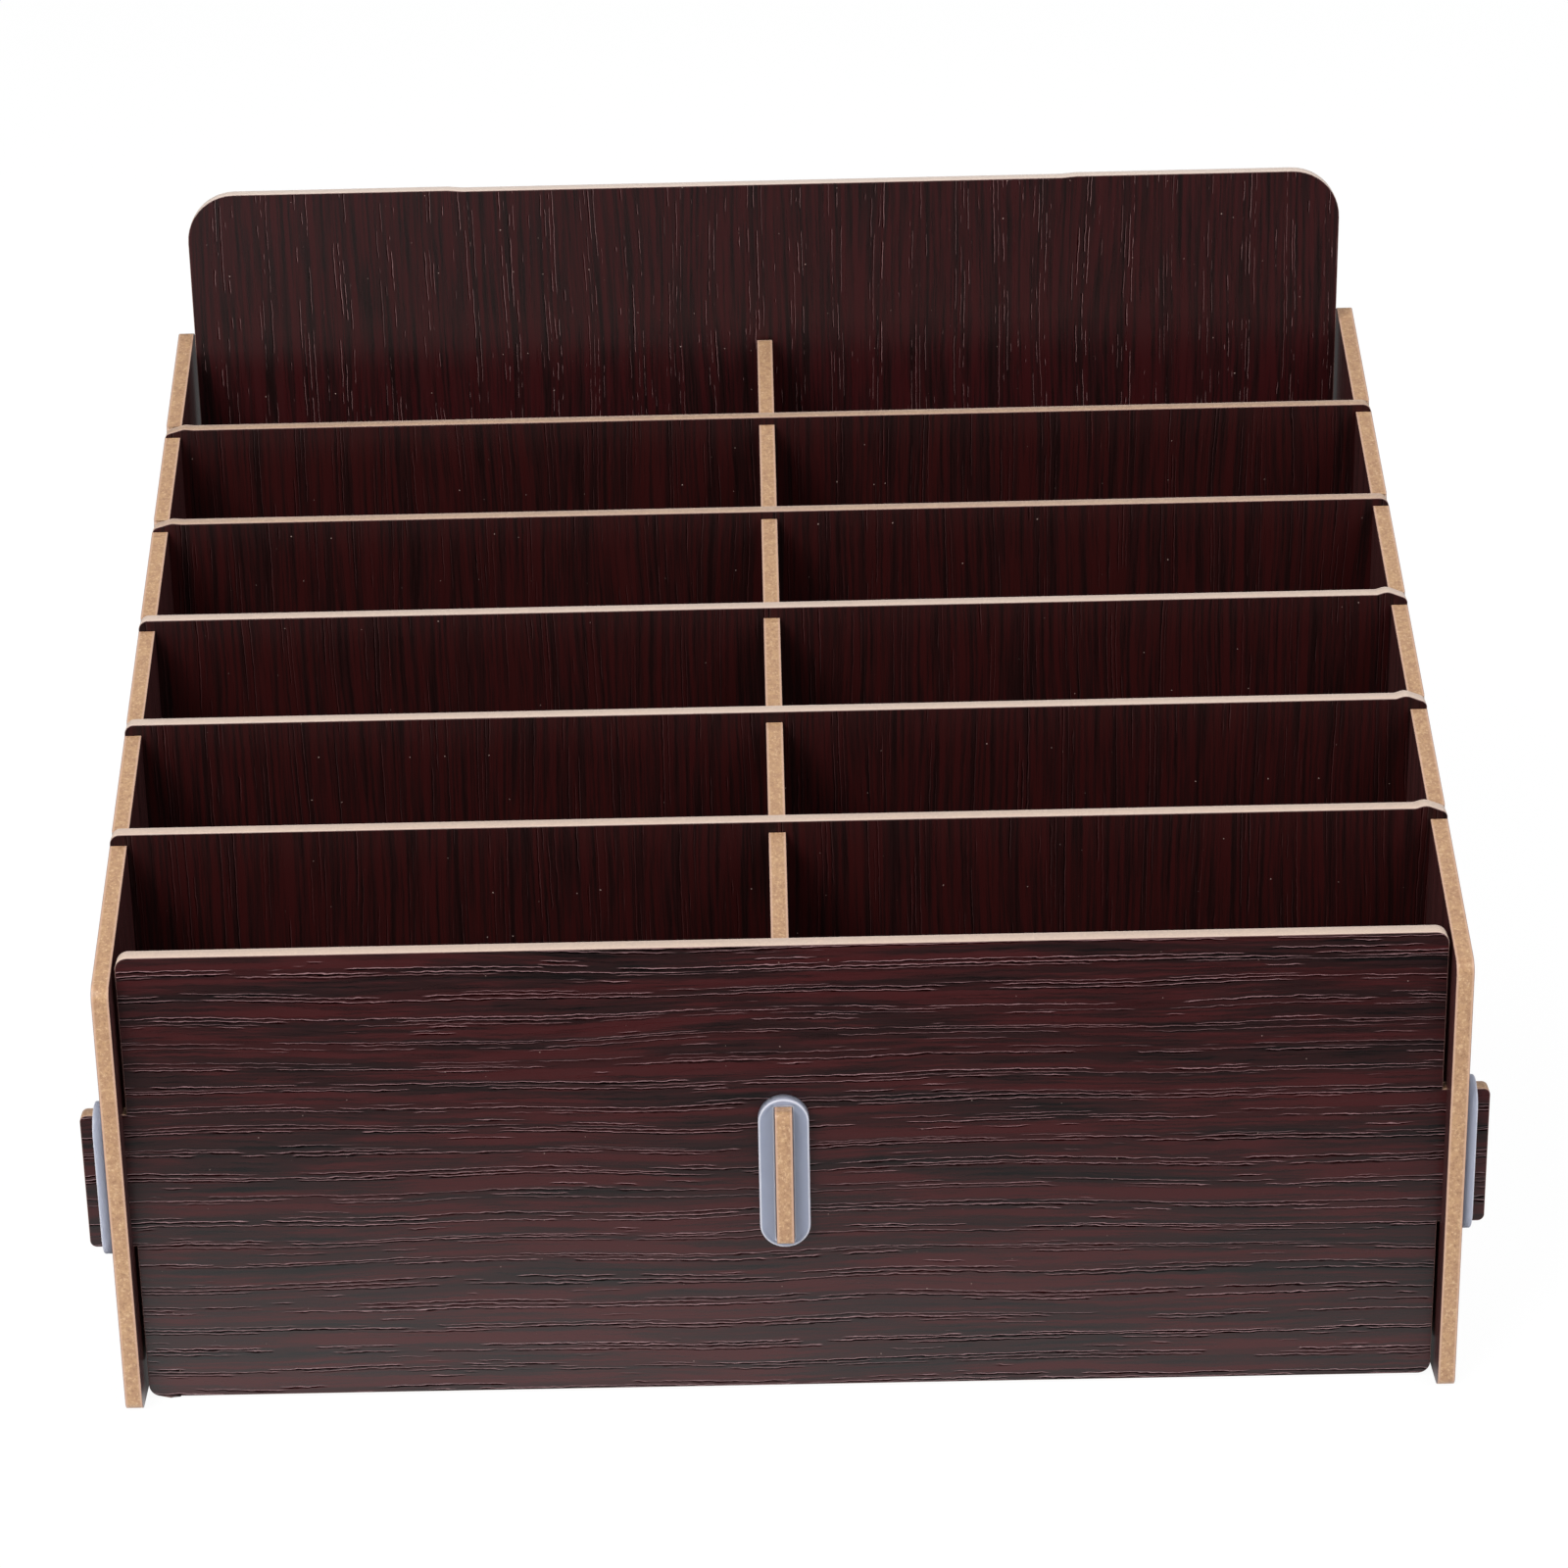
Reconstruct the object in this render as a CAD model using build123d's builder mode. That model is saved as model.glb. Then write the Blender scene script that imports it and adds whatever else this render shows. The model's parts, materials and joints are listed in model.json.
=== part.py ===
"""Slot-together desk sorter of laminated MDF board: two columns by six rows of upright compartments.

Sizes are in millimetres. X runs to the right, Y to the rear and Z up. The origin lies on the table,
under the middle of the whole sorter. Every outline is drawn with its depth measured from the front
edges of the side panels, and its height from the table.
"""
import os

from build123d import *

os.makedirs("parts", exist_ok=True)

# ---------------------------------------------------------------- board and overall sizes
board = 3.1  # laminated MDF sheet that all panels are cut from
outer_width = 237.0  # over the outer faces of the two side panels
side_depth = 178.0  # front edge to rear edge of a side panel
side_front_height = 83.2  # height of the sloping top line at the front edge
side_rear_height = 146.7  # height of the sloping top line at the rear edge

# ---------------------------------------------------------------- places of the cross boards
front_setback = 4.5  # side panel's front edge to the face of the front panel
rear_margin = 2.9  # rear face of the back panel to the side panel's rear edge
row_pitch = 27.5  # face to face of neighbouring cross boards
divider_rows = 5  # removable cross dividers

# ---------------------------------------------------------------- heights of the boards
front_panel_top = 87.4
back_panel_top = 175.9
table_gap = 0.5  # the front and back panels end this far above the table
rear_rows = 2  # the dividers of the rear rows are cut a little lower than those in front
rear_divider_rise = 1.45  # a divider's top edge over the sloping line, at its front face
front_divider_rise = 2.0
floor_height = 6.0  # table to the underside of the floor board

# ---------------------------------------------------------------- clearances
panel_gap = 0.7  # front and back panels to a side panel's inner face
fit_gap = 0.1  # board face to the wall of its slot or mortise
seat_gap = 0.1  # floor of an open slot to the divider that hangs in it
floor_gap = 0.3  # edges of the floor board and of the dividers to the boards around them

# ---------------------------------------------------------------- tabs, mortises and lock rings
tab_height = 26.0
tab_centre_height = 44.2
tab_reach = 4.5  # how far a locked tab stands out of the board it passes through
tab_corner = 1.2
ring_width = 8.9
ring_height = 29.2
ring_thickness = 2.0
ring_lip = 0.4  # chamfer round the outer face of a ring
floor_tab_length = 30.0
floor_tab_inset = 45.0  # middle of a floor tab to the nearer end of the side panel
floor_tab_recess = 0.2  # floor tabs end just inside the side panel's outer face

# ---------------------------------------------------------------- half laps and corners
ear_depth = 34.0  # height of the dividers' ears that hang in the side panels
lap_share = 0.5  # share of the crossing's height that the slot in the centre board takes
slot_lead_in = 0.6  # chamfer at the open end of every slot
side_nose_round = 3.0
side_foot_round = 2.0
side_rear_round = 1.5
front_corner_round = 2.2
back_corner_round = 9.6
ear_corner_round = 1.8
rear_hump_rise = 0.2  # low hump in a divider's top edge near one of its ends
front_hump_rise = 0.6
hump_start = 2.6  # foot of the hump, inside the side panel's inner face
hump_peak = 0.7  # its highest point, inside the same face
hump_fall = 0.9  # from the peak the edge falls to this much below the top, at the outer end
hump_foot_round = 1.5
hump_peak_round = 2.4
hump_end_round = 1.3
bridge_foot = 1.9  # half length of the bump that the cutting bridge left under the front panel
bridge_foot_drop = 0.4
bridge_foot_inset = 3.8  # left end of the front panel to the middle of that bump
top_dip = 0.25  # the middle of the back panel's top edge lies this much lower
top_dip_length = 125.0
top_dip_ramp = 3.0

# ---------------------------------------------------------------- values worked out from these
half_width = outer_width / 2
inner_half = half_width - board
panel_half = inner_half - panel_gap
divider_half = inner_half - floor_gap
back_face = side_depth - rear_margin - board
back_rear_face = back_face + board
front_rear_face = front_setback + board
floor_top = floor_height + board
slot_width = board + 2 * fit_gap
tab_top = tab_centre_height + tab_height / 2
tab_bottom = tab_centre_height - tab_height / 2
tip_half_width = half_width + tab_reach
rear_reach = max(side_depth, back_rear_face + tab_reach)
front_reach = min(0, front_setback - tab_reach)
middle_depth = (rear_reach + front_reach) / 2
slope = (side_rear_height - side_front_height) / side_depth
divider_faces = [back_face - row_pitch * (row + 1) for row in range(divider_rows)]
slot_cut = back_panel_top + side_rear_height  # taller than any board, to cut a slot out to the top


def line_height(depth):
    """Height of the sloping top line of the side panels and the centre board."""
    return side_front_height + slope * depth


def across(depth):
    """Plane of a board that faces the front, with its face at this depth."""
    return Plane.XZ.offset(middle_depth - depth)


def along(x):
    """Plane of a board that faces sideways, with its left face at this x."""
    return Plane(origin=(x, -middle_depth, 0), x_dir=(0, 1, 0), z_dir=(1, 0, 0))


def divider_top(face):
    """Height of a cross divider's top edge."""
    in_rear = face in divider_faces[:rear_rows]
    return line_height(face) + (rear_divider_rise if in_rear else front_divider_rise)


def ear_floor(face):
    """Height of the underside of a cross divider's ears."""
    return divider_top(face) - ear_depth


def lap_height(face):
    """Height at which a cross divider and the centre board meet in their half lap."""
    return floor_top + (line_height(face) - floor_top) * (1 - lap_share)


def round_corner(sketch, corner, radius):
    """Round the corner of the current sketch that lies nearest to a point."""
    fillet(sketch.vertices().sort_by_distance(corner)[0], radius)


def open_slot(middle, bottom, mouth):
    """Cut a slot that opens upwards, with a small lead-in at its mouth line."""
    with Locations((middle, bottom + slot_cut / 2)):
        Rectangle(slot_width, slot_cut, mode=Mode.SUBTRACT)
    Polygon(
        (middle - slot_width / 2 - slot_lead_in, mouth + slot_lead_in),
        (middle - slot_width / 2, mouth - slot_lead_in),
        (middle + slot_width / 2, mouth - slot_lead_in),
        (middle + slot_width / 2 + slot_lead_in, mouth + slot_lead_in),
        align=None,
        mode=Mode.SUBTRACT,
    )


def finish(part, name):
    """Label a finished board or ring and write it to its own file."""
    part.label = name
    export_step(part, f"parts/{name}.step")
    solids = part.solids()
    print(f"{name}: {len(solids)} solid, {part.volume:.0f} mm3")


# ================================================================ side panels
for side_name, side_x in (("left_side", -half_width), ("right_side", inner_half)):
    with BuildPart() as side:
        with BuildSketch(along(side_x)) as outline:
            with BuildLine():
                Polyline(
                    (0, 0),
                    (side_depth, 0),
                    (side_depth, side_rear_height),
                    (0, side_front_height),
                    close=True,
                )
            make_face()
            round_corner(outline, (0, side_front_height), side_nose_round)
            round_corner(outline, (side_depth, side_rear_height), side_rear_round)
            round_corner(outline, (0, 0), side_foot_round)
            round_corner(outline, (side_depth, 0), side_foot_round)
            for face in divider_faces:
                middle = face + board / 2
                open_slot(middle, ear_floor(face) - seat_gap, line_height(middle))
            for panel_face in (front_setback, back_face):
                with Locations((panel_face + board / 2, tab_centre_height)):
                    Rectangle(slot_width, tab_height + 2 * fit_gap, mode=Mode.SUBTRACT)
            for tab_middle in (floor_tab_inset, side_depth - floor_tab_inset):
                with Locations((tab_middle, floor_height + board / 2)):
                    Rectangle(floor_tab_length + 2 * fit_gap, slot_width, mode=Mode.SUBTRACT)
        extrude(amount=board)
    finish(side.part, side_name)

# ================================================================ centre board
with BuildPart() as centre:
    with BuildSketch(along(-board / 2)) as outline:
        front_edge = front_rear_face + fit_gap
        rear_edge = back_face - fit_gap
        with BuildLine():
            Polyline(
                (front_edge, floor_top),
                (rear_edge, floor_top),
                (rear_edge, line_height(rear_edge)),
                (front_edge, line_height(front_edge)),
                close=True,
            )
        make_face()
        round_corner(outline, (rear_edge, line_height(rear_edge)), side_rear_round)
        front_tip = front_setback - tab_reach
        rear_tip = back_rear_face + tab_reach
        with Locations(((front_tip + rear_tip) / 2, tab_centre_height)):
            Rectangle(rear_tip - front_tip, tab_height)
        for tip in (front_tip, rear_tip):
            round_corner(outline, (tip, tab_top), tab_corner)
            round_corner(outline, (tip, tab_bottom), tab_corner)
        for face in divider_faces:
            middle = face + board / 2
            open_slot(middle, lap_height(face) - seat_gap, line_height(middle))
    extrude(amount=board)
finish(centre.part, "centre_divider")

# ================================================================ cross dividers
# Divider 1 is the rear one. The hump lies at the left end of the rear rows' dividers
# and at the right end of the others.
for number, face in enumerate(divider_faces, start=1):
    top = divider_top(face)
    bottom = floor_top + floor_gap
    hump_side = -1 if number <= rear_rows else 1
    hump_rise = rear_hump_rise if number <= rear_rows else front_hump_rise
    hump_foot = (hump_side * (inner_half - hump_start), top)
    hump_tip = (hump_side * (inner_half - hump_peak), top + hump_rise)
    hump_end = (hump_side * half_width, top - hump_fall)
    plain_end = (-hump_side * half_width, top)
    with BuildPart() as divider:
        with BuildSketch(across(face)) as outline:
            with BuildLine():
                Polyline(
                    plain_end,
                    hump_foot,
                    hump_tip,
                    hump_end,
                    (hump_side * half_width, ear_floor(face)),
                    (hump_side * divider_half, ear_floor(face)),
                    (hump_side * divider_half, bottom),
                    (-hump_side * divider_half, bottom),
                    (-hump_side * divider_half, ear_floor(face)),
                    (-hump_side * half_width, ear_floor(face)),
                    close=True,
                )
            make_face()
            round_corner(outline, plain_end, ear_corner_round)
            round_corner(outline, hump_foot, hump_foot_round)
            round_corner(outline, hump_tip, hump_peak_round)
            round_corner(outline, hump_end, hump_end_round)
            lap_slot_height = lap_height(face) - floor_top + seat_gap
            with Locations((0, floor_top + lap_slot_height / 2)):
                Rectangle(slot_width, lap_slot_height, mode=Mode.SUBTRACT)
        extrude(amount=-board)
    finish(divider.part, f"cross_divider_{number}")

# ================================================================ front panel
with BuildPart() as front:
    with BuildSketch(across(front_setback)) as outline:
        with Locations((0, (front_panel_top + table_gap) / 2)):
            Rectangle(2 * panel_half, front_panel_top - table_gap)
        for end in (-panel_half, panel_half):
            round_corner(outline, (end, front_panel_top), front_corner_round)
            round_corner(outline, (end, table_gap), front_corner_round)
        bump_middle = bridge_foot_inset - panel_half
        with BuildLine():
            Polyline(
                (bump_middle - bridge_foot, table_gap),
                (bump_middle, table_gap - bridge_foot_drop),
                (bump_middle + bridge_foot, table_gap),
                close=True,
            )
        make_face()
        with Locations((0, tab_centre_height)):
            Rectangle(2 * tip_half_width, tab_height)
        for tip in (-tip_half_width, tip_half_width):
            round_corner(outline, (tip, tab_top), tab_corner)
            round_corner(outline, (tip, tab_bottom), tab_corner)
        with Locations((0, tab_centre_height)):
            Rectangle(slot_width, tab_height + 2 * fit_gap, mode=Mode.SUBTRACT)
    extrude(amount=-board)
finish(front.part, "front_panel")

# ================================================================ back panel
with BuildPart() as back:
    with BuildSketch(across(back_face)) as outline:
        with Locations((0, (back_panel_top + table_gap) / 2)):
            Rectangle(2 * panel_half, back_panel_top - table_gap)
        for end in (-panel_half, panel_half):
            round_corner(outline, (end, back_panel_top), back_corner_round)
            round_corner(outline, (end, table_gap), front_corner_round)
        with BuildLine():
            Polyline(
                (-top_dip_length / 2, back_panel_top),
                (top_dip_ramp - top_dip_length / 2, back_panel_top - top_dip),
                (top_dip_length / 2 - top_dip_ramp, back_panel_top - top_dip),
                (top_dip_length / 2, back_panel_top),
                close=True,
            )
        make_face(mode=Mode.SUBTRACT)
        with Locations((0, tab_centre_height)):
            Rectangle(2 * tip_half_width, tab_height)
        for tip in (-tip_half_width, tip_half_width):
            round_corner(outline, (tip, tab_top), tab_corner)
            round_corner(outline, (tip, tab_bottom), tab_corner)
        with Locations((0, tab_centre_height)):
            Rectangle(slot_width, tab_height + 2 * fit_gap, mode=Mode.SUBTRACT)
    extrude(amount=-board)
finish(back.part, "back_panel")

# ================================================================ floor board
with BuildPart() as floor:
    floor_depth = back_face - front_rear_face - 2 * floor_gap
    floor_middle = (back_face + front_rear_face) / 2
    floor_tip_half = half_width - floor_tab_recess
    with BuildSketch(Plane.XY.offset(floor_height)):
        with Locations((0, floor_middle - middle_depth)):
            Rectangle(2 * divider_half, floor_depth)
        for tab_middle in (floor_tab_inset, side_depth - floor_tab_inset):
            with Locations((0, tab_middle - middle_depth)):
                Rectangle(2 * floor_tip_half, floor_tab_length)
    extrude(amount=board)
finish(floor.part, "floor_board")


# ================================================================ lock rings
def lock_ring(seat, name):
    """Soft stadium-shaped ring, pressed over a tab until it lies on the board's outer face."""
    with BuildPart() as ring:
        with BuildSketch(seat):
            SlotOverall(ring_height, ring_width, rotation=90)
        extrude(amount=ring_thickness)
        outer_face = ring.faces().sort_by(Axis(seat.origin, seat.z_dir))[-1]
        chamfer(outer_face.edges(), ring_lip)
        with BuildSketch(seat):
            Rectangle(slot_width, tab_height + 2 * fit_gap)
        extrude(amount=ring_thickness, mode=Mode.SUBTRACT)
    finish(ring.part, name)


lock_ring(
    Plane(
        origin=(0, front_setback - middle_depth, tab_centre_height),
        x_dir=(1, 0, 0),
        z_dir=(0, -1, 0),
    ),
    "lock_ring_front",
)
lock_ring(
    Plane(
        origin=(0, back_rear_face - middle_depth, tab_centre_height),
        x_dir=(-1, 0, 0),
        z_dir=(0, 1, 0),
    ),
    "lock_ring_rear",
)
for hand, sign in (("left", -1), ("right", 1)):
    for place, panel_face in (("front", front_setback), ("rear", back_face)):
        lock_ring(
            Plane(
                origin=(
                    sign * half_width,
                    panel_face + board / 2 - middle_depth,
                    tab_centre_height,
                ),
                x_dir=(0, sign, 0),
                z_dir=(sign, 0, 0),
            ),
            f"lock_ring_{hand}_{place}",
        )
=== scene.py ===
"""Looks of the slot-together sorter: wood-grain laminated boards with bare edges, and silicone lock rings.

Every length is in metres unless its name ends in _mm. The frame gives each board's place and outline.
"""
import json
import math

import bmesh
import bpy
from mathutils import Matrix, Vector
from mathutils.geometry import tessellate_polygon


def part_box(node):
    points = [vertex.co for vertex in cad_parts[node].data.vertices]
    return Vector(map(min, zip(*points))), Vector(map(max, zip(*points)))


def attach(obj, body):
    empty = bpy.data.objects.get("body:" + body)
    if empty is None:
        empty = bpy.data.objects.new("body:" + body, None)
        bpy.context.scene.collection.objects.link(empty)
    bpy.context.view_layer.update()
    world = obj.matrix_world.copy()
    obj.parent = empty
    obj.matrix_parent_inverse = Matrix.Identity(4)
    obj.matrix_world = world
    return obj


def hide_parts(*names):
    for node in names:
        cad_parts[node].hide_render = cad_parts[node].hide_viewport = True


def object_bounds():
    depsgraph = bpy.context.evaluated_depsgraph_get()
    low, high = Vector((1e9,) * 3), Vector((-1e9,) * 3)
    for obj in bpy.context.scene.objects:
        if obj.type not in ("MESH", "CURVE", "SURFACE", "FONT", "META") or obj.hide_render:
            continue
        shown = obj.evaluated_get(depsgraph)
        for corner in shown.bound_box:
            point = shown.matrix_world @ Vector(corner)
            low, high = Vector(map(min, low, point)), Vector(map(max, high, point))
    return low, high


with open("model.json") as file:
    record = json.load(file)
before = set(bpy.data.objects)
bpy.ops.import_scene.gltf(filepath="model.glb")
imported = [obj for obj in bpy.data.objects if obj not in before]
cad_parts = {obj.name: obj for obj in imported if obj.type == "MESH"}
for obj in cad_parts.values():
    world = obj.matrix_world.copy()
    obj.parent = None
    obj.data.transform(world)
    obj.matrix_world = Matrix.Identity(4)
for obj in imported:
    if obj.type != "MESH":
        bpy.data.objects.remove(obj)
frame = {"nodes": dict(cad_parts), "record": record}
cad_box = [list(corner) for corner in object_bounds()]

MM = 0.001
IMAGE_SIDE = 1600  # pixels, the photograph's frame
FRONT_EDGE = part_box("left_side")[0].y  # the side panels' front edges

# ---------------------------------------------------------------- boards and their grain
ALONG_X = Vector((1, 0, 0))
ALONG_Z = Vector((0, 0, 1))
DIVIDERS = [f"cross_divider_{row}" for row in range(1, 6)]
BOARD_GRAIN = {
    "front_panel": ALONG_X,
    "back_panel": ALONG_Z,
    "left_side": ALONG_Z,
    "right_side": ALONG_Z,
    "centre_divider": ALONG_Z,
    "floor_board": ALONG_X,
    **{name: ALONG_Z for name in DIVIDERS},
}
# Painted sheen on a board's upper edge, where it lies level: how far its colour is turned pale, standing in for
# the grazing reflection of the bright backdrop.
PAINTED_TOP_SHEEN = {
    "front_panel": 0.55,
    "back_panel": 0.75,
    "cross_divider_1": 0.15,
    "cross_divider_2": 0.25,
    "cross_divider_3": 0.6,
    "cross_divider_4": 0.6,
    "cross_divider_5": 0.55,
}
RINGS = (
    "lock_ring_front",
    "lock_ring_rear",
    "lock_ring_left_front",
    "lock_ring_left_rear",
    "lock_ring_right_front",
    "lock_ring_right_rear",
)
EDGE_SOFTNESS = 0.12 * MM
TOP_BAND = 4 * MM  # edge faces this near a board's top count as its upper edge
SHEET_STEP = 0.137  # shift of the grain from one laminate sheet to the next, in metres


def body_of_node(node):
    """Name of the body that a node rides on."""
    for body, members in frame["record"]["behaviour"]["bodies"].items():
        if node in members:
            return body
    return None


# ================================================================ material helpers
class Shader:
    """A material's node tree, built up with short calls."""

    def __init__(self, name):
        self.material = bpy.data.materials.new(name)
        self.material.use_nodes = True
        self.tree = self.material.node_tree
        self.tree.nodes.clear()

    def node(self, kind, **settings):
        made = self.tree.nodes.new(kind)
        for key, value in settings.items():
            setattr(made, key, value)
        return made

    def feed(self, socket, value):
        if isinstance(value, bpy.types.NodeSocket):
            self.tree.links.new(value, socket)
        else:
            socket.default_value = value

    def math(self, operation, a, b=0.0, clamp=False):
        made = self.node("ShaderNodeMath", operation=operation, use_clamp=clamp)
        self.feed(made.inputs[0], a)
        self.feed(made.inputs[1], b)
        return made.outputs[0]

    def scaled(self, vector, scale, shift=(0.0, 0.0, 0.0)):
        made = self.node("ShaderNodeMapping")
        self.feed(made.inputs["Vector"], vector)
        made.inputs["Scale"].default_value = scale
        made.inputs["Location"].default_value = shift
        return made.outputs["Vector"]

    def noise(self, vector, detail=2.0, roughness=0.5, flat=True, scale=1.0):
        """Soft noise, in the plane of the grain unless flat is off."""
        made = self.node("ShaderNodeTexNoise", noise_dimensions="2D" if flat else "3D")
        self.feed(made.inputs["Vector"], vector)
        made.inputs["Scale"].default_value = scale
        made.inputs["Detail"].default_value = detail
        made.inputs["Roughness"].default_value = roughness
        return made.outputs["Fac"]

    def cells(self, vector):
        """Scattered points in the plane: the distance to the nearest one and its random colour."""
        made = self.node("ShaderNodeTexVoronoi", feature="F1", voronoi_dimensions="2D")
        self.feed(made.inputs["Vector"], vector)
        made.inputs["Scale"].default_value = 1.0
        return made.outputs["Distance"], made.outputs["Color"]

    def parts(self, vector):
        made = self.node("ShaderNodeSeparateXYZ")
        self.feed(made.inputs[0], vector)
        return made.outputs[0], made.outputs[1], made.outputs[2]

    def joined(self, x, y):
        made = self.node("ShaderNodeCombineXYZ")
        self.feed(made.inputs[0], x)
        self.feed(made.inputs[1], y)
        return made.outputs[0]

    def span(self, value, low, high, to_low=0.0, to_high=1.0, smooth=True):
        made = self.node("ShaderNodeMapRange")
        made.interpolation_type = "SMOOTHSTEP" if smooth else "LINEAR"
        self.feed(made.inputs["Value"], value)
        self.feed(made.inputs["From Min"], low)
        self.feed(made.inputs["From Max"], high)
        self.feed(made.inputs["To Min"], to_low)
        self.feed(made.inputs["To Max"], to_high)
        return made.outputs["Result"]

    def mix(self, factor, a, b):
        made = self.node("ShaderNodeMix", data_type="RGBA")
        self.feed(made.inputs["Factor"], factor)
        self.feed(made.inputs["A"], a)
        self.feed(made.inputs["B"], b)
        return made.outputs["Result"]

    def surface(self, shader):
        output = self.node("ShaderNodeOutputMaterial")
        self.feed(output.inputs["Surface"], shader)


def linear(red, green, blue):
    """A colour given in the screen's 0 to 255 steps, as a shader wants it."""

    def step(value):
        value = value / 255
        return value / 12.92 if value <= 0.04045 else ((value + 0.055) / 1.055) ** 2.4

    return (step(red), step(green), step(blue), 1.0)


# ================================================================ laminate with embossed pores
# How often each noise repeats along and across the grain, per mm.
WAVE_PER_MM = (0.016, 0.05, 1.0)
RIPPLE_PER_MM = (0.30, 0.9, 1.0)
BROAD_ALONG_PER_MM = 0.016  # across the grain each look has its own value
FINE_PER_MM = (0.045, 1.5, 1.0)
FINE_SHIFT = (7.0, 3.0, 0.0)
DUST_PER_MM = (0.12, 0.12, 1.0)

BROAD_SHARE = 0.6  # of the broad streaks in the print, the rest being the fine ones
MAROON_BAND = (0.43, 0.58)  # streak values over which the print turns from dusk to maroon
BLACK_BAND = 0.08  # streak values over which it turns black

LINE_PLACE = (0.28, 0.72)  # where a hair line may lie in its row, as shares of the row
ROW_SPREAD = 5.37  # keeps the rows apart in the noise that breaks them into dashes
DASH_SOFTNESS = 0.05
FAINTEST_ROW = 0.35
LIP_CORE = 0.3  # share of a lip's half width that has its full strength
LIP_REACH = 1.25  # where it has faded out, in half widths

DUST_SIZE = 0.024  # of the largest speck, in cells
DUST_COLOUR = linear(190, 165, 155)


def hair_lines(s, bent, look):
    """Embossed hair lines in rows along the grain: how much of a lit lip, and of a shaded one, is here, as
    masks for a painted highlight and a painted shade.

    Each row is broken into dashes by noise, and after some full rows come some nearly empty ones.
    """
    pitch = look["row_mm"]
    along, across, _ = s.parts(bent)
    rows = s.math("DIVIDE", across, pitch)
    row = s.math("FLOOR", rows)
    chance = s.node("ShaderNodeTexWhiteNoise", noise_dimensions="1D")
    s.feed(chance.inputs["W"], row)
    sway, vigour, _ = s.parts(chance.outputs["Color"])
    sway = s.span(sway, 0.0, 1.0, *LINE_PLACE, smooth=False)
    off = s.math("MULTIPLY", s.math("SUBTRACT", s.math("SUBTRACT", rows, row), sway), pitch)

    full_rows, all_rows = look["row_groups"]
    quiet = s.math("GREATER_THAN", s.math("FLOORED_MODULO", row, all_rows), full_rows - 0.5)
    place = s.joined(s.math("DIVIDE", along, look["dash_mm"]), s.math("MULTIPLY", row, ROW_SPREAD))
    dash = s.noise(place, look["dash_detail"], 0.6)
    level = s.math("ADD", s.math("MULTIPLY", quiet, look["quiet_level"]), look["dash_level"])
    dash = s.span(s.math("SUBTRACT", dash, level), 0.0, DASH_SOFTNESS)
    dash = s.math("MULTIPLY", dash, s.span(vigour, 0.0, 1.0, FAINTEST_ROW, 1.0, smooth=False))

    lips = []
    for shift, half_mm in ((-look["lit_mm"], look["lit_mm"]), (look["shaded_mm"], look["shaded_mm"])):
        away = s.math("ABSOLUTE", s.math("ADD", off, shift))
        lip = s.span(away, half_mm * LIP_CORE, half_mm * LIP_REACH, 1.0, 0.0)
        lips.append(s.math("MULTIPLY", lip, dash))
    return lips, quiet


def laminate(name, look):
    """Dark cherry print under a clear embossed film, with a painted highlight and painted shade on the film's
    embossed lips, read along and across the grain in mm.
    """
    s = Shader(name)
    grain = s.node("ShaderNodeAttribute", attribute_name="grain_mm").outputs["Vector"]
    along, across, _ = s.parts(grain)
    wave = s.noise(s.scaled(grain, WAVE_PER_MM), detail=1.0)
    wave = s.math("MULTIPLY", s.math("SUBTRACT", wave, 0.5), look["wander_mm"])
    ripple = s.noise(s.scaled(grain, RIPPLE_PER_MM), detail=2.0)
    ripple = s.math("MULTIPLY", s.math("SUBTRACT", ripple, 0.5), look["ripple_mm"])
    bent = s.joined(along, s.math("ADD", across, s.math("ADD", wave, ripple)))

    # The print: long dark streaks on maroon.
    broad_scale = (BROAD_ALONG_PER_MM, look["streaks_per_mm"], 1.0)
    broad = s.noise(s.scaled(bent, broad_scale), detail=3.0, roughness=0.6)
    fine = s.noise(s.scaled(bent, FINE_PER_MM, FINE_SHIFT), detail=3.0, roughness=0.7)
    streak = s.math(
        "ADD",
        s.math("MULTIPLY", broad, BROAD_SHARE),
        s.math("MULTIPLY", fine, 1 - BROAD_SHARE),
    )
    colour = s.mix(s.span(streak, *MAROON_BAND), look["dusk"], look["maroon"])
    blackness = s.span(streak, look["black_below"], look["black_below"] - BLACK_BAND)
    colour = s.mix(blackness, colour, look["black"])

    (lit, shaded), quiet = hair_lines(s, bent, look)
    loud = s.math("SUBTRACT", 1.0, quiet)
    colour = s.mix(s.math("MULTIPLY", loud, look["group_shade"]), colour, look["black"])
    # Painted shade on each hair line's shaded side and a painted highlight on its lit side, standing in for
    # light on the embossing.
    colour = s.mix(s.math("MULTIPLY", shaded, look["shade"]), colour, look["groove"])
    colour = s.mix(s.math("MULTIPLY", lit, look["light"]), colour, look["lip"])

    # A few specks of sawdust, most of them very small.
    gap, pick = s.cells(s.scaled(grain, DUST_PER_MM))
    size, _, _ = s.parts(pick)
    reach = s.math("MULTIPLY", s.math("POWER", size, 3.0), DUST_SIZE)
    dust = s.span(gap, reach, 0.0, 0.0, 1.0)
    colour = s.mix(s.math("MULTIPLY", dust, look["dust"]), colour, DUST_COLOUR)

    # The film is matt in the grooves and shiny on the lips.
    skin = s.node("ShaderNodeBsdfPrincipled")
    s.feed(skin.inputs["Base Color"], colour)
    s.feed(skin.inputs["Roughness"], s.math("ADD", s.math("MULTIPLY", fine, 0.20), look["roughness"]))
    sheen = s.span(shaded, 0.0, 0.6, look["gloss"], 0.0, smooth=False)
    s.feed(skin.inputs["Specular IOR Level"], s.math("ADD", sheen, s.math("MULTIPLY", lit, 0.5)))
    s.surface(skin.outputs[0])
    return s.material


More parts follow.
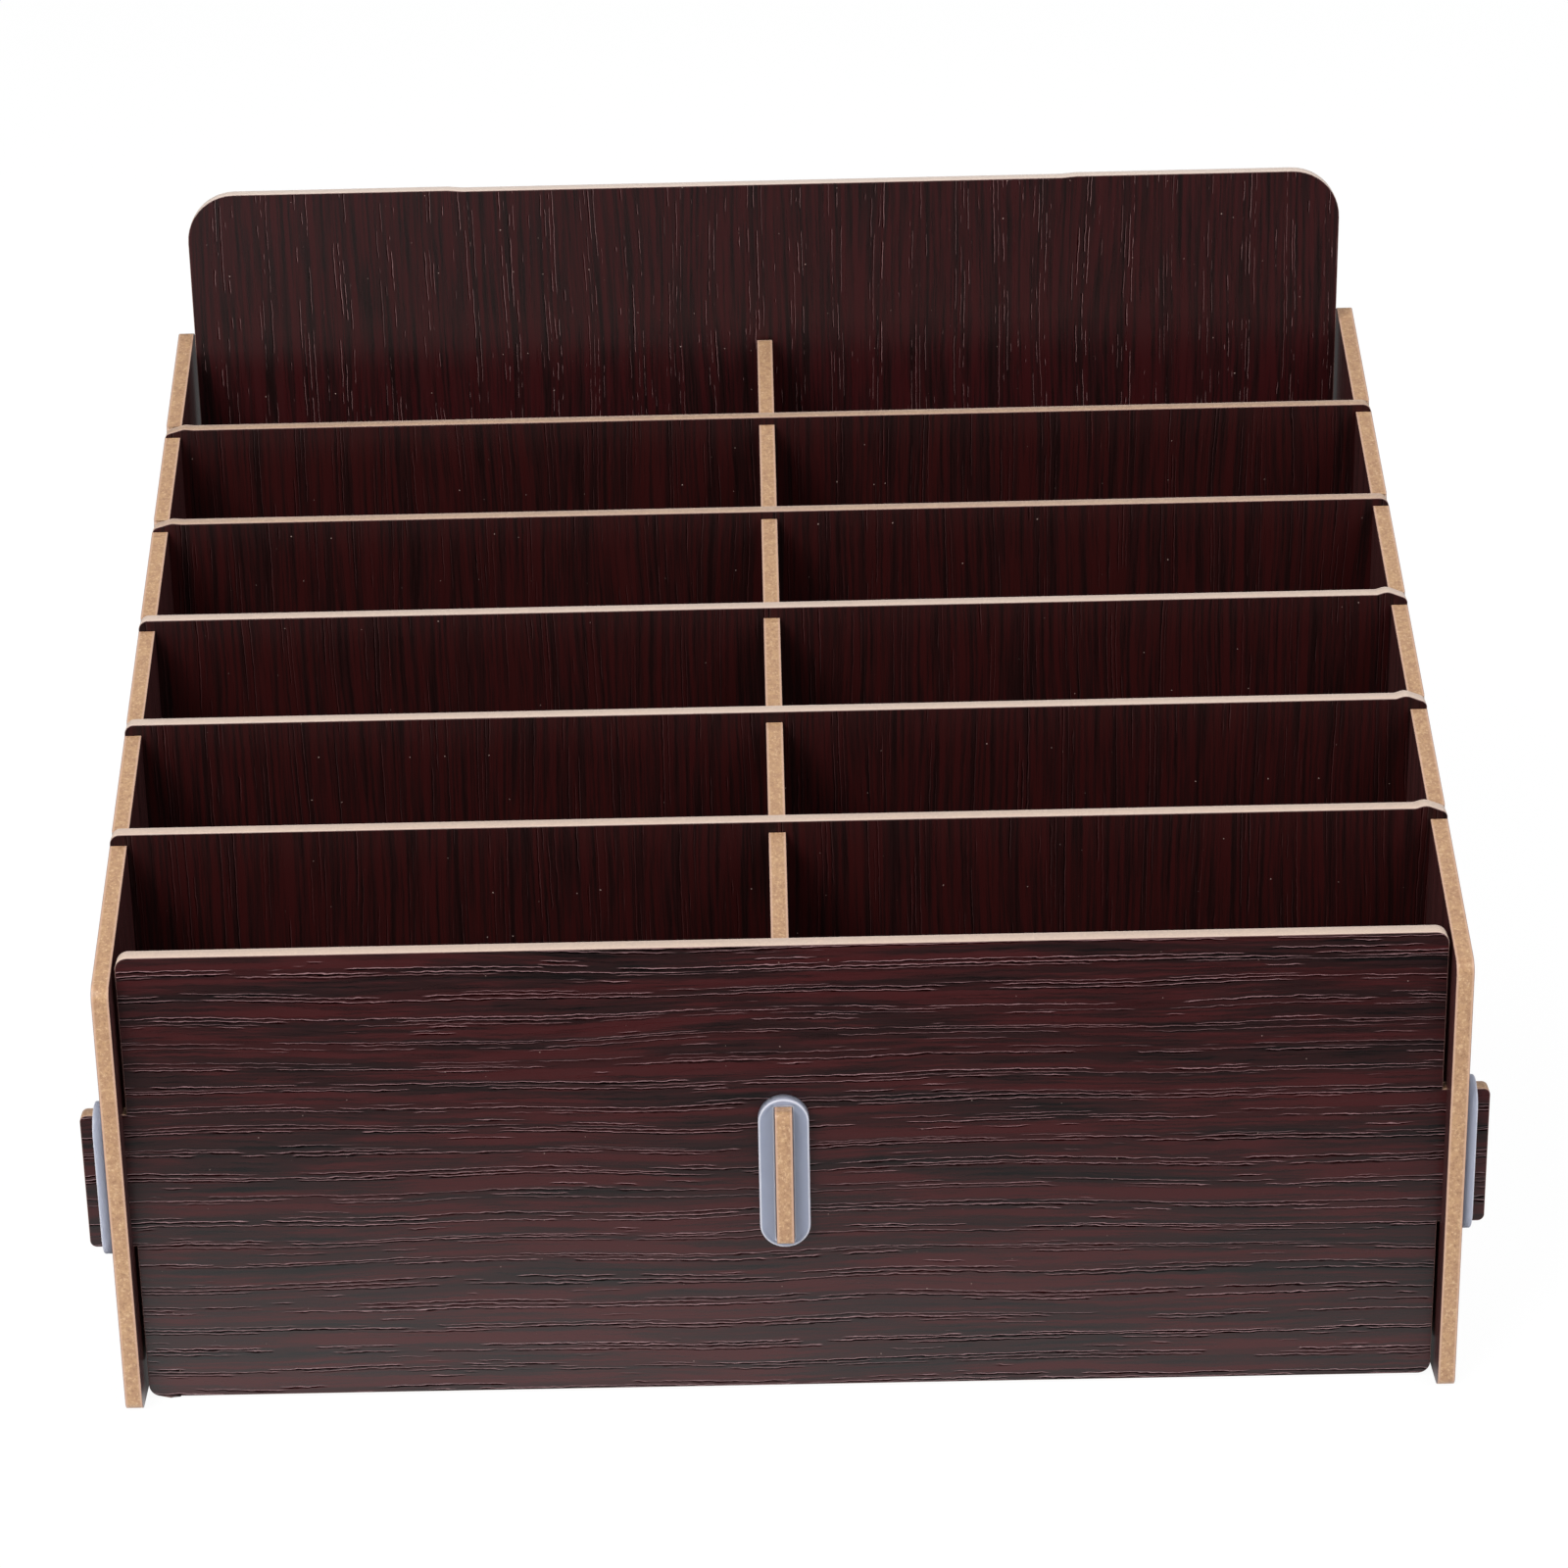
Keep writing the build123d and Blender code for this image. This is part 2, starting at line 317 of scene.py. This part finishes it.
# ================================================================ bare board edge
CLOUDS_PER_METRE = 700.0
FIBRES_PER_METRE = 1900.0
FIBRE_SHIFT = (0.2, 0.1, 0.3)
CORE_TONES = (linear(172, 131, 98), linear(186, 146, 108))
PALE_FIBRE = linear(214, 180, 142)
DARK_FIBRE = linear(136, 98, 70)
DENSE_SKIN = linear(204, 166, 142)
# Tone of the painted sheen on level upper edges.
TOP_SHEEN_TONE = linear(238, 220, 208)
FILM_LINE = linear(88, 48, 50)
# Places over the board's thickness, from 0 in its middle to 1 at its broad faces.
SKIN_BAND = (0.62, 0.86)
FILM_BAND = (0.93, 0.97)


def bare_edge(name):
    """Sawn fibreboard: tan core with fibres and specks, denser pink skins, a dark laminate line, and a painted
    sheen on level upper edges.
    """
    s = Shader(name)
    place = s.node("ShaderNodeTexCoord").outputs["Object"]
    across = s.node("ShaderNodeAttribute", attribute_name="across").outputs["Fac"]
    away = s.math("ABSOLUTE", across)

    cloud = s.noise(place, flat=False, scale=CLOUDS_PER_METRE, detail=2.0, roughness=0.6)
    shifted = s.scaled(place, (1.0, 1.0, 1.0), FIBRE_SHIFT)
    fibre = s.noise(shifted, flat=False, scale=FIBRES_PER_METRE, detail=2.0, roughness=0.7)
    core = s.mix(s.span(cloud, 0.35, 0.68), *CORE_TONES)
    core = s.mix(s.span(fibre, 0.52, 0.70, 0.0, 0.7), core, PALE_FIBRE)
    core = s.mix(s.span(fibre, 0.44, 0.30, 0.0, 0.6), core, DARK_FIBRE)

    painted_sheen = s.node("ShaderNodeAttribute", attribute_name="painted_sheen").outputs["Fac"]
    colour = s.mix(s.math("MULTIPLY", s.span(away, *SKIN_BAND), 0.8), core, DENSE_SKIN)
    # Painted sheen: level upper edges are turned pale, standing in for the grazing reflection of the bright
    # backdrop.
    colour = s.mix(painted_sheen, colour, TOP_SHEEN_TONE)
    colour = s.mix(s.math("MULTIPLY", s.span(away, *FILM_BAND), 0.85), colour, FILM_LINE)

    wood = s.node("ShaderNodeBsdfPrincipled")
    s.feed(wood.inputs["Base Color"], colour)
    wood.inputs["Roughness"].default_value = 0.45
    wood.inputs["Sheen Weight"].default_value = 0.2
    wood.inputs["Sheen Roughness"].default_value = 0.5
    s.surface(wood.outputs[0])
    return s.material


# ================================================================ silicone
MILKY = linear(156, 162, 181)
# Tone of the painted rim highlight.
RIM_HIGHLIGHT_TONE = linear(205, 205, 216)


def silicone(name):
    """Milky blue-grey silicone with a painted highlight along its rounded rim, from the ring's own per-vertex
    highlight strengths.
    """
    s = Shader(name)
    rim_highlight = s.node("ShaderNodeAttribute", attribute_name="rim_highlight").outputs["Fac"]
    # Painted highlight along the rounded rim, the outer wall and the hole's lip.
    colour = s.mix(s.span(rim_highlight, 0.55, 1.0), MILKY, RIM_HIGHLIGHT_TONE)
    body = s.node("ShaderNodeBsdfPrincipled")
    s.feed(body.inputs["Base Color"], colour)
    body.inputs["Roughness"].default_value = 0.38
    body.inputs["Subsurface Weight"].default_value = 0.6
    body.inputs["Subsurface Radius"].default_value = (1.0, 1.0, 1.0)
    body.inputs["Subsurface Scale"].default_value = 2.0 * MM
    s.surface(body.outputs[0])
    return s.material


# ================================================================ the looks of the laminates
# maroon, dusk, black   tones of the print, which is black where the streaks fall under black_below
# lip, groove           painted highlight on a hair line's lit side and painted shade on its shaded side
# light, shade          strengths of those two
# row_mm, row_groups    room for one hair line; full rows, and all rows, in each repeat
# dash_mm, dash_detail  length and raggedness of the dashes
# dash_level            noise level over which a dash shows, raised by quiet_level in the empty rows
# lit_mm, shaded_mm     half widths of the two sides
# wander_mm, ripple_mm  how far the grain strays sideways, slowly and quickly
# group_shade           how far the colour is darkened towards black in rows that hold a group of lines
FRONT_LOOK = {
    "maroon": linear(62, 16, 18),
    "dusk": linear(38, 15, 16),
    "black": linear(16, 9, 10),
    "black_below": 0.42,
    "lip": linear(156, 118, 121),
    "groove": linear(2, 1, 1),
    "light": 1.0,
    "shade": 1.0,
    "row_mm": 0.62,
    "row_groups": (3, 7),
    "dash_mm": 24.0,
    "dash_level": 0.42,
    "dash_detail": 1.8,
    "quiet_level": 0.24,
    "lit_mm": 0.065,
    "shaded_mm": 0.14,
    "wander_mm": 3.0,
    "ripple_mm": 0.55,
    "streaks_per_mm": 0.30,
    "group_shade": 0.35,
    "dust": 0.5,
    "roughness": 0.2,
    "gloss": 0.5,
}
BOARD_LOOK = {
    **FRONT_LOOK,
    "maroon": linear(49, 15, 15),
    "dusk": linear(34, 14, 14),
    "black": linear(26, 11, 11),
    "black_below": 0.45,
    "lip": linear(92, 58, 58),
    "groove": linear(6, 3, 3),
    "light": 0.4,
    "shade": 0.8,
    "row_mm": 0.82,
    "row_groups": (4, 10),
    "dash_mm": 30.0,
    "dash_level": 0.48,
    "dash_detail": 3.0,
    "quiet_level": 0.16,
    "shaded_mm": 0.11,
    "ripple_mm": 0.34,
    "streaks_per_mm": 0.8,
    "group_shade": 0.12,
    "dust": 0.9,
    "gloss": 0.2,
}
BACK_LOOK = {
    **BOARD_LOOK,
    "maroon": linear(54, 15, 17),
    "dusk": linear(37, 14, 15),
    "lip": linear(140, 104, 104),
    "light": 0.75,
    "dash_mm": 10.0,
    "dash_level": 0.50,
    "gloss": 0.4,
}
# The sides use a paler, less red copy of the board print: painted light standing in for the brighter look of
# their inner faces, so their outer faces are paler too.
SIDE_LIT_LOOK = {
    **BOARD_LOOK,
    "maroon": linear(78, 42, 42),
    "dusk": linear(64, 37, 37),
    "black": linear(44, 27, 27),
    "gloss": 0.3,
}
FRONT_LAMINATE = laminate("front_panel_laminate", FRONT_LOOK)
BACK_LAMINATE = laminate("back_panel_laminate", BACK_LOOK)
BOARD_LAMINATE = laminate("board_laminate", BOARD_LOOK)
SIDE_LIT_LAMINATE = laminate("side_panel_lit_laminate", SIDE_LIT_LOOK)
LAMINATES = {
    "front_panel": FRONT_LAMINATE,
    "back_panel": BACK_LAMINATE,
    "left_side": SIDE_LIT_LAMINATE,
    "right_side": SIDE_LIT_LAMINATE,
}
BARE_EDGE = bare_edge("bare_board_edge")
SILICONE = silicone("milky_silicone")


# ================================================================ boards
def thin_axis(node):
    """The axis through a board's thickness."""
    low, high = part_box(node)
    size = high - low
    return min(range(3), key=lambda axis: size[axis])


def signed_area(loop):
    return sum(a.x * b.y - b.x * a.y for a, b in zip(loop, loop[1:] + loop[:1])) / 2


def outlines(node, thin):
    """Closed loops round a board's broad face, the outer one turning left and the holes right."""
    shape = bmesh.new()
    shape.from_mesh(frame["nodes"][node].data)
    bmesh.ops.remove_doubles(shape, verts=shape.verts, dist=0.5e-5)
    flat_axes = [axis for axis in range(3) if axis != thin]
    follow = {}
    for edge in shape.edges:
        broad = [face for face in edge.link_faces if face.normal[thin] > 0.9]
        if len(broad) == 1 and len(edge.link_faces) == 2:
            loop = next(loop for loop in edge.link_loops if loop.face == broad[0])
            follow[loop.vert] = loop.link_loop_next.vert
    loops = []
    while follow:
        start = next(iter(follow))
        loop = []
        at = start
        while at in follow:
            loop.append(Vector((at.co[flat_axes[0]], at.co[flat_axes[1]])))
            at = follow.pop(at)
        loops.append(loop)
    shape.free()
    cleaned = []
    for loop in loops:
        kept = []
        for before, here, after in zip(loop[-1:] + loop[:-1], loop, loop[1:] + loop[:1]):
            if (here - before).normalized().dot((after - here).normalized()) < 0.999999:
                kept.append(here)
        cleaned.append(kept)
    largest = max(cleaned, key=lambda loop: abs(signed_area(loop)))
    turned = []
    for loop in cleaned:
        wanted = 1 if loop is largest else -1
        turned.append(loop if signed_area(loop) * wanted > 0 else loop[::-1])
    return turned, flat_axes


def drawn_in(loop, inset):
    """The loop moved into the material by inset."""
    made = []
    for before, here, after in zip(loop[-1:] + loop[:-1], loop, loop[1:] + loop[:1]):
        first = (here - before).normalized()
        second = (after - here).normalized()
        first_in = Vector((-first.y, first.x))
        second_in = Vector((-second.y, second.x))
        made.append(here + (first_in + second_in) * (inset / (1 + first_in.dot(second_in))))
    return made


PRINT_MATERIAL, EDGE_MATERIAL = 0, 1  # places in a board's list of materials
CREASE = math.radians(40)  # edges that turn by more stay sharp


def dress_board(order, node, grain):
    """One board: laminate on its two broad faces, bare edge all round, with its edges eased."""
    thin = thin_axis(node)
    low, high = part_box(node)
    middle = (low + high) / 2
    half = (high[thin] - low[thin]) / 2
    loops, flat_axes = outlines(node, thin)
    ease = EDGE_SOFTNESS
    levels = (
        (half, ease),
        (half - ease * 0.3, ease * 0.3),
        (half - ease, 0.0),
        (ease - half, 0.0),
        (ease * 0.3 - half, ease * 0.3),
        (-half, ease),
    )
    shape = bmesh.new()
    upper_lid = []
    lower_lid = []

    def place(point, off):
        spot = Vector((0.0, 0.0, 0.0))
        spot[thin] = middle[thin] + off
        spot[flat_axes[0]] = point.x
        spot[flat_axes[1]] = point.y
        return spot

    for loop in loops:
        rings = []
        for off, inset in levels:
            rings.append([shape.verts.new(place(point, off)) for point in drawn_in(loop, inset)])
        for upper, lower in zip(rings, rings[1:]):
            for index in range(len(upper)):
                after = (index + 1) % len(upper)
                face = shape.faces.new((upper[index], upper[after], lower[after], lower[index]))
                face.material_index = EDGE_MATERIAL
                face.smooth = True
        upper_lid.append(rings[0])
        lower_lid.append(rings[-1])
    for lid in (upper_lid, lower_lid):
        flat_rings = [[Vector((v.co[flat_axes[0]], v.co[flat_axes[1]], 0.0)) for v in ring] for ring in lid]
        corners = [vertex for ring in lid for vertex in ring]
        for triple in tessellate_polygon(flat_rings):
            face = shape.faces.new([corners[index] for index in triple])
            face.material_index = PRINT_MATERIAL
    bmesh.ops.recalc_face_normals(shape, faces=shape.faces)
    for edge in shape.edges:
        kinds = {face.material_index for face in edge.link_faces}
        steep = len(edge.link_faces) == 2 and edge.calc_face_angle(0.0) > CREASE
        edge.smooth = not (len(kinds) == 2 or steep)
    mesh = bpy.data.meshes.new(node + "_board")
    shape.to_mesh(mesh)
    shape.free()
    mesh.materials.append(LAMINATES.get(node, BOARD_LAMINATE))
    mesh.materials.append(BARE_EDGE)

    # Painted sheen on the level upper edge faces, turned pale by the bare edge material.
    painted_sheen = mesh.attributes.new("painted_sheen", "FLOAT", "FACE")
    for face in mesh.polygons:
        if face.material_index == EDGE_MATERIAL and face.center.z > high.z - TOP_BAND:
            painted_sheen.data[face.index].value = PAINTED_TOP_SHEEN.get(node, 0.0)
    side = next(axis for axis in range(3) if axis != thin and grain[axis] == 0)
    along = next(axis for axis in range(3) if grain[axis] == 1)
    across = mesh.attributes.new("across", "FLOAT", "POINT")
    grain_mm = mesh.attributes.new("grain_mm", "FLOAT_VECTOR", "POINT")
    for index, vertex in enumerate(mesh.vertices):
        across.data[index].value = (vertex.co[thin] - middle[thin]) / half
        sheet = 2 * order + (vertex.co[thin] > middle[thin])
        grain_mm.data[index].vector = (
            (vertex.co[along] + sheet * SHEET_STEP) / MM,
            (vertex.co[side] + sheet * SHEET_STEP) / MM,
            0.0,
        )
    piece = bpy.data.objects.new(node + "_dressed", mesh)
    bpy.context.scene.collection.objects.link(piece)
    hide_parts(node)
    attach(piece, body_of_node(node))


for order, (node, grain) in enumerate(BOARD_GRAIN.items()):
    dress_board(order, node, grain)


# ================================================================ lock rings
RING_STEPS = 24  # steps on each half round of the ring, and on each end of its hole
RING_ROUND = 0.30 * MM
HOLE_ROUND = 0.25 * MM
HOLE_SLACK = 0.03 * MM
HOLE_WIDTH = 3.1 * MM + 2 * HOLE_SLACK  # round the end of a tab
HOLE_LENGTH = 26.0 * MM + 2 * HOLE_SLACK
RIM_BAND = 0.12 * MM  # on the ring's face, where the painted rim highlight fades out
LIP_BAND = 0.25 * MM  # the same round the hole
LIP_STEPS = 6
HOLE_LIP_STEPS = 4
SIDE_WALL_HIGHLIGHT = 0.7  # strengths of the painted rim highlight: 1 is palest, 0 the plain milky tone
HOLE_LIP_HIGHLIGHT = 0.9


def half_round(radius, height, turn):
    """Points of one end of a stadium, from right to left, or back on the lower end."""
    made = []
    for step in range(RING_STEPS + 1):
        angle = math.pi * step / RING_STEPS + turn
        made.append((radius * math.cos(angle), height + radius * math.sin(angle)))
    return made


def stadium(width, length, inset):
    """Outline of a stadium drawn in by inset."""
    radius = width / 2 - inset
    straight = (length - width) / 2
    return half_round(radius, straight, 0.0) + half_round(radius, -straight, math.pi)


def hole_outline(width, length, spread):
    """Outline of the tab's hole, with as many points as the stadium."""
    half_x = width / 2 + spread
    half_z = length / 2 + spread
    made = []
    for sign in (1, -1):
        for step in range(RING_STEPS + 1):
            made.append((sign * half_x * (1 - 2 * step / RING_STEPS), sign * half_z))
    return made


def dress_ring(node):
    """A moulded ring round its tab, with rounded lips, from the box of its node."""
    low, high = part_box(node)
    size = high - low
    thin = 0 if size.x < size.y else 1
    wide = 1 - thin
    middle = (low + high) / 2
    outward = 1 if middle[thin] > (cad_box[0][thin] + cad_box[1][thin]) / 2 else -1
    seat = low[thin] if outward > 0 else high[thin]
    width, length, thick = size[wide], size.z, size[thin]
    # From the seat up the outside, over the lip, across the face and down into the hole.
    loops = [(stadium(width, length, 0.0), 0.0, SIDE_WALL_HIGHLIGHT)]
    for step in range(LIP_STEPS + 1):
        angle = math.pi / 2 * step / LIP_STEPS
        inset = RING_ROUND * (1 - math.cos(angle))
        rise = thick - RING_ROUND * (1 - math.sin(angle))
        # The painted rim highlight grows over the lip to full strength; the flat face gets none.
        rim_highlight = SIDE_WALL_HIGHLIGHT + (1 - SIDE_WALL_HIGHLIGHT) * step / LIP_STEPS
        loops.append((stadium(width, length, inset), rise, rim_highlight))
    loops.append((stadium(width, length, RING_ROUND + RIM_BAND), thick, 0.0))
    loops.append((hole_outline(HOLE_WIDTH, HOLE_LENGTH, HOLE_ROUND + LIP_BAND), thick, 0.0))
    for step in range(HOLE_LIP_STEPS + 1):
        angle = math.pi / 2 * step / HOLE_LIP_STEPS
        spread = HOLE_ROUND * (1 - math.sin(angle))
        rise = thick - HOLE_ROUND * (1 - math.cos(angle))
        loops.append((hole_outline(HOLE_WIDTH, HOLE_LENGTH, spread), rise, HOLE_LIP_HIGHLIGHT))
    loops.append((hole_outline(HOLE_WIDTH, HOLE_LENGTH, 0.0), 0.0, HOLE_LIP_HIGHLIGHT))

    shape = bmesh.new()
    # Per-vertex strength of the painted rim highlight, read by the silicone material.
    rim_highlight_layer = shape.verts.layers.float.new("rim_highlight")
    rings = []
    for outline, rise, rim_highlight in loops:
        ring = []
        for across, up in outline:
            place = Vector((0.0, 0.0, middle.z + up))
            place[thin] = seat + outward * rise
            place[wide] = middle[wide] + across
            vertex = shape.verts.new(place)
            vertex[rim_highlight_layer] = rim_highlight
            ring.append(vertex)
        rings.append(ring)
    for inner, outer in zip(rings, rings[1:] + rings[:1]):
        level = inner[0].co[thin] == outer[0].co[thin]
        for index in range(len(inner)):
            after = (index + 1) % len(inner)
            face = shape.faces.new((inner[index], inner[after], outer[after], outer[index]))
            face.smooth = not level
    bmesh.ops.recalc_face_normals(shape, faces=shape.faces)
    mesh = bpy.data.meshes.new(node + "_moulding")
    shape.to_mesh(mesh)
    shape.free()
    mesh.materials.append(SILICONE)
    piece = bpy.data.objects.new(node + "_moulded", mesh)
    bpy.context.scene.collection.objects.link(piece)
    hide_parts(node)
    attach(piece, body_of_node(node))


for node in RINGS:
    dress_ring(node)


# ================================================================ floor, light and camera
FLOOR_REACH = 3.0
FLOOR_DROP = 0.2 * MM  # keeps the paper clear of the boards' feet
AIM = (0, 0, 0.06)  # what the lamps face
# Name, place, side, power and colour of each lamp.
SOFTBOXES = (
    ("key_softbox", (-0.8, -1.0, 0.95), (0.9, 0.9), 17.0, (1.0, 0.99, 0.97)),
    ("fill_softbox", (0.9, -0.7, 0.95), (0.9, 0.9), 8.0, (0.97, 0.98, 1.0)),
    ("top_softbox", (0.0, 0.35, 1.35), (1.2, 0.8), 2.5, (1.0, 1.0, 1.0)),
)
WORLD_FILL = 0.38
WORLD_MIRRORED = (0.10, 0.35)  # to reflections: in front of the sorter and behind it


def paper_floor():
    """White paper under the sorter, pure white to the camera but for a trace of shadow.

    In reflections it is bright just in front of the sorter, most of all on the left, and again far off.
    """
    s = Shader("white_paper")
    x, y, _ = s.parts(s.node("ShaderNodeTexCoord").outputs["Object"])
    path = s.node("ShaderNodeLightPath")
    near = s.span(y, FRONT_EDGE - 0.14, FRONT_EDGE, 0.03, 1.0)
    behind = s.span(y, FRONT_EDGE, FRONT_EDGE + 0.01, 1.0, 0.15)
    near = s.math("MULTIPLY", near, behind)
    near = s.math("MULTIPLY", near, s.span(x, 0.12, -0.12, 0.95, 1.35))
    far = s.span(y, FRONT_EDGE - 0.22, FRONT_EDGE - 0.40)
    leftward = s.span(x, 0.15, -0.20, 0.12, 0.55)
    matt = s.node("ShaderNodeBsdfDiffuse")
    s.feed(matt.inputs["Color"], (0.82, 0.82, 0.82, 1.0))
    white = s.node("ShaderNodeEmission")
    s.feed(white.inputs["Color"], (1.0, 1.0, 1.0, 1.0))
    s.feed(white.inputs["Strength"], 1.05)
    seen = s.node("ShaderNodeMixShader")
    s.feed(seen.inputs[0], s.math("MULTIPLY", path.outputs["Is Camera Ray"], 0.9))
    s.feed(seen.inputs[1], matt.outputs[0])
    s.feed(seen.inputs[2], white.outputs[0])
    mirrored = s.node("ShaderNodeEmission")
    s.feed(mirrored.inputs["Color"], (1.0, 0.98, 0.98, 1.0))
    s.feed(mirrored.inputs["Strength"], s.math("ADD", near, s.math("MULTIPLY", far, leftward)))
    whole = s.node("ShaderNodeMixShader")
    s.feed(whole.inputs[0], path.outputs["Is Glossy Ray"])
    s.feed(whole.inputs[1], seen.outputs[0])
    s.feed(whole.inputs[2], mirrored.outputs[0])
    s.surface(whole.outputs[0])
    mesh = bpy.data.meshes.new("paper_floor")
    corners = [(x * FLOOR_REACH, y * FLOOR_REACH, -FLOOR_DROP) for x, y in ((-1, -1), (1, -1), (1, 1), (-1, 1))]
    mesh.from_pydata(corners, [], [(0, 1, 2, 3)])
    mesh.materials.append(s.material)
    floor = bpy.data.objects.new("paper_floor", mesh)
    bpy.context.scene.collection.objects.link(floor)


def studio_world():
    """White surroundings: white to the camera, softer as a light and in reflections."""
    world = bpy.data.worlds.new("white_studio")
    world.use_nodes = True
    tree = world.node_tree
    tree.nodes.clear()
    path = tree.nodes.new("ShaderNodeLightPath")
    way = tree.nodes.new("ShaderNodeTexCoord")
    facing = tree.nodes.new("ShaderNodeSeparateXYZ")
    behind = tree.nodes.new("ShaderNodeMapRange")
    behind.interpolation_type = "SMOOTHSTEP"
    behind.inputs["From Min"].default_value = 0.6
    behind.inputs["From Max"].default_value = 0.9
    behind.inputs["To Min"].default_value = WORLD_MIRRORED[0]
    behind.inputs["To Max"].default_value = WORLD_MIRRORED[1]

    def light(colour, strength):
        made = tree.nodes.new("ShaderNodeBackground")
        made.inputs["Color"].default_value = colour
        made.inputs["Strength"].default_value = strength
        return made

    fill = light((0.96, 0.98, 1.0, 1.0), WORLD_FILL)
    mirrored = light((1.0, 1.0, 1.0, 1.0), 1.0)
    white = light((1.0, 1.0, 1.0, 1.0), 1.0)
    glossy = tree.nodes.new("ShaderNodeMixShader")
    mixed = tree.nodes.new("ShaderNodeMixShader")
    output = tree.nodes.new("ShaderNodeOutputWorld")
    tree.links.new(way.outputs["Generated"], facing.inputs[0])
    tree.links.new(facing.outputs[1], behind.inputs["Value"])
    tree.links.new(behind.outputs["Result"], mirrored.inputs["Strength"])
    tree.links.new(path.outputs["Is Glossy Ray"], glossy.inputs[0])
    tree.links.new(fill.outputs[0], glossy.inputs[1])
    tree.links.new(mirrored.outputs[0], glossy.inputs[2])
    tree.links.new(path.outputs["Is Camera Ray"], mixed.inputs[0])
    tree.links.new(glossy.outputs[0], mixed.inputs[1])
    tree.links.new(white.outputs[0], mixed.inputs[2])
    tree.links.new(mixed.outputs[0], output.inputs["Surface"])
    bpy.context.scene.world = world


def softbox(name, place, size, power, colour):
    """An area lamp that faces the sorter."""
    lamp = bpy.data.lights.new(name, "AREA")
    lamp.shape = "RECTANGLE"
    lamp.size, lamp.size_y = size
    lamp.energy = power
    lamp.color = colour
    holder = bpy.data.objects.new(name, lamp)
    holder.location = place
    aim = Vector(AIM) - Vector(place)
    holder.rotation_euler = aim.to_track_quat("-Z", "Y").to_euler()
    bpy.context.scene.collection.objects.link(holder)


def photo_camera():
    """The photograph's viewpoint, in front of the sorter and above it."""
    focal_pixels = 4545.0
    axis_pixel_x = 700.0  # the lens axis lies a little left of the frame's middle
    eye = Vector((-0.00346, FRONT_EDGE - 0.68835, 0.41202))
    forward = Vector((-0.01585, 0.92036, -0.39075))
    roll = math.radians(1.574)
    camera = bpy.data.cameras.new("photo_camera")
    camera.sensor_width = 36.0
    camera.lens = camera.sensor_width * focal_pixels / IMAGE_SIDE
    camera.shift_x = (IMAGE_SIDE / 2 - axis_pixel_x) / IMAGE_SIDE
    camera.clip_start = 0.01
    holder = bpy.data.objects.new("photo_camera", camera)
    turn = forward.to_track_quat("-Z", "Y").to_matrix() @ Matrix.Rotation(-roll, 3, "Z")
    holder.matrix_world = Matrix.Translation(eye) @ turn.to_4x4()
    bpy.context.scene.collection.objects.link(holder)
    bpy.context.scene.camera = holder


paper_floor()
studio_world()
for settings in SOFTBOXES:
    softbox(*settings)
photo_camera()

bpy.context.scene.view_settings.view_transform = "Standard"
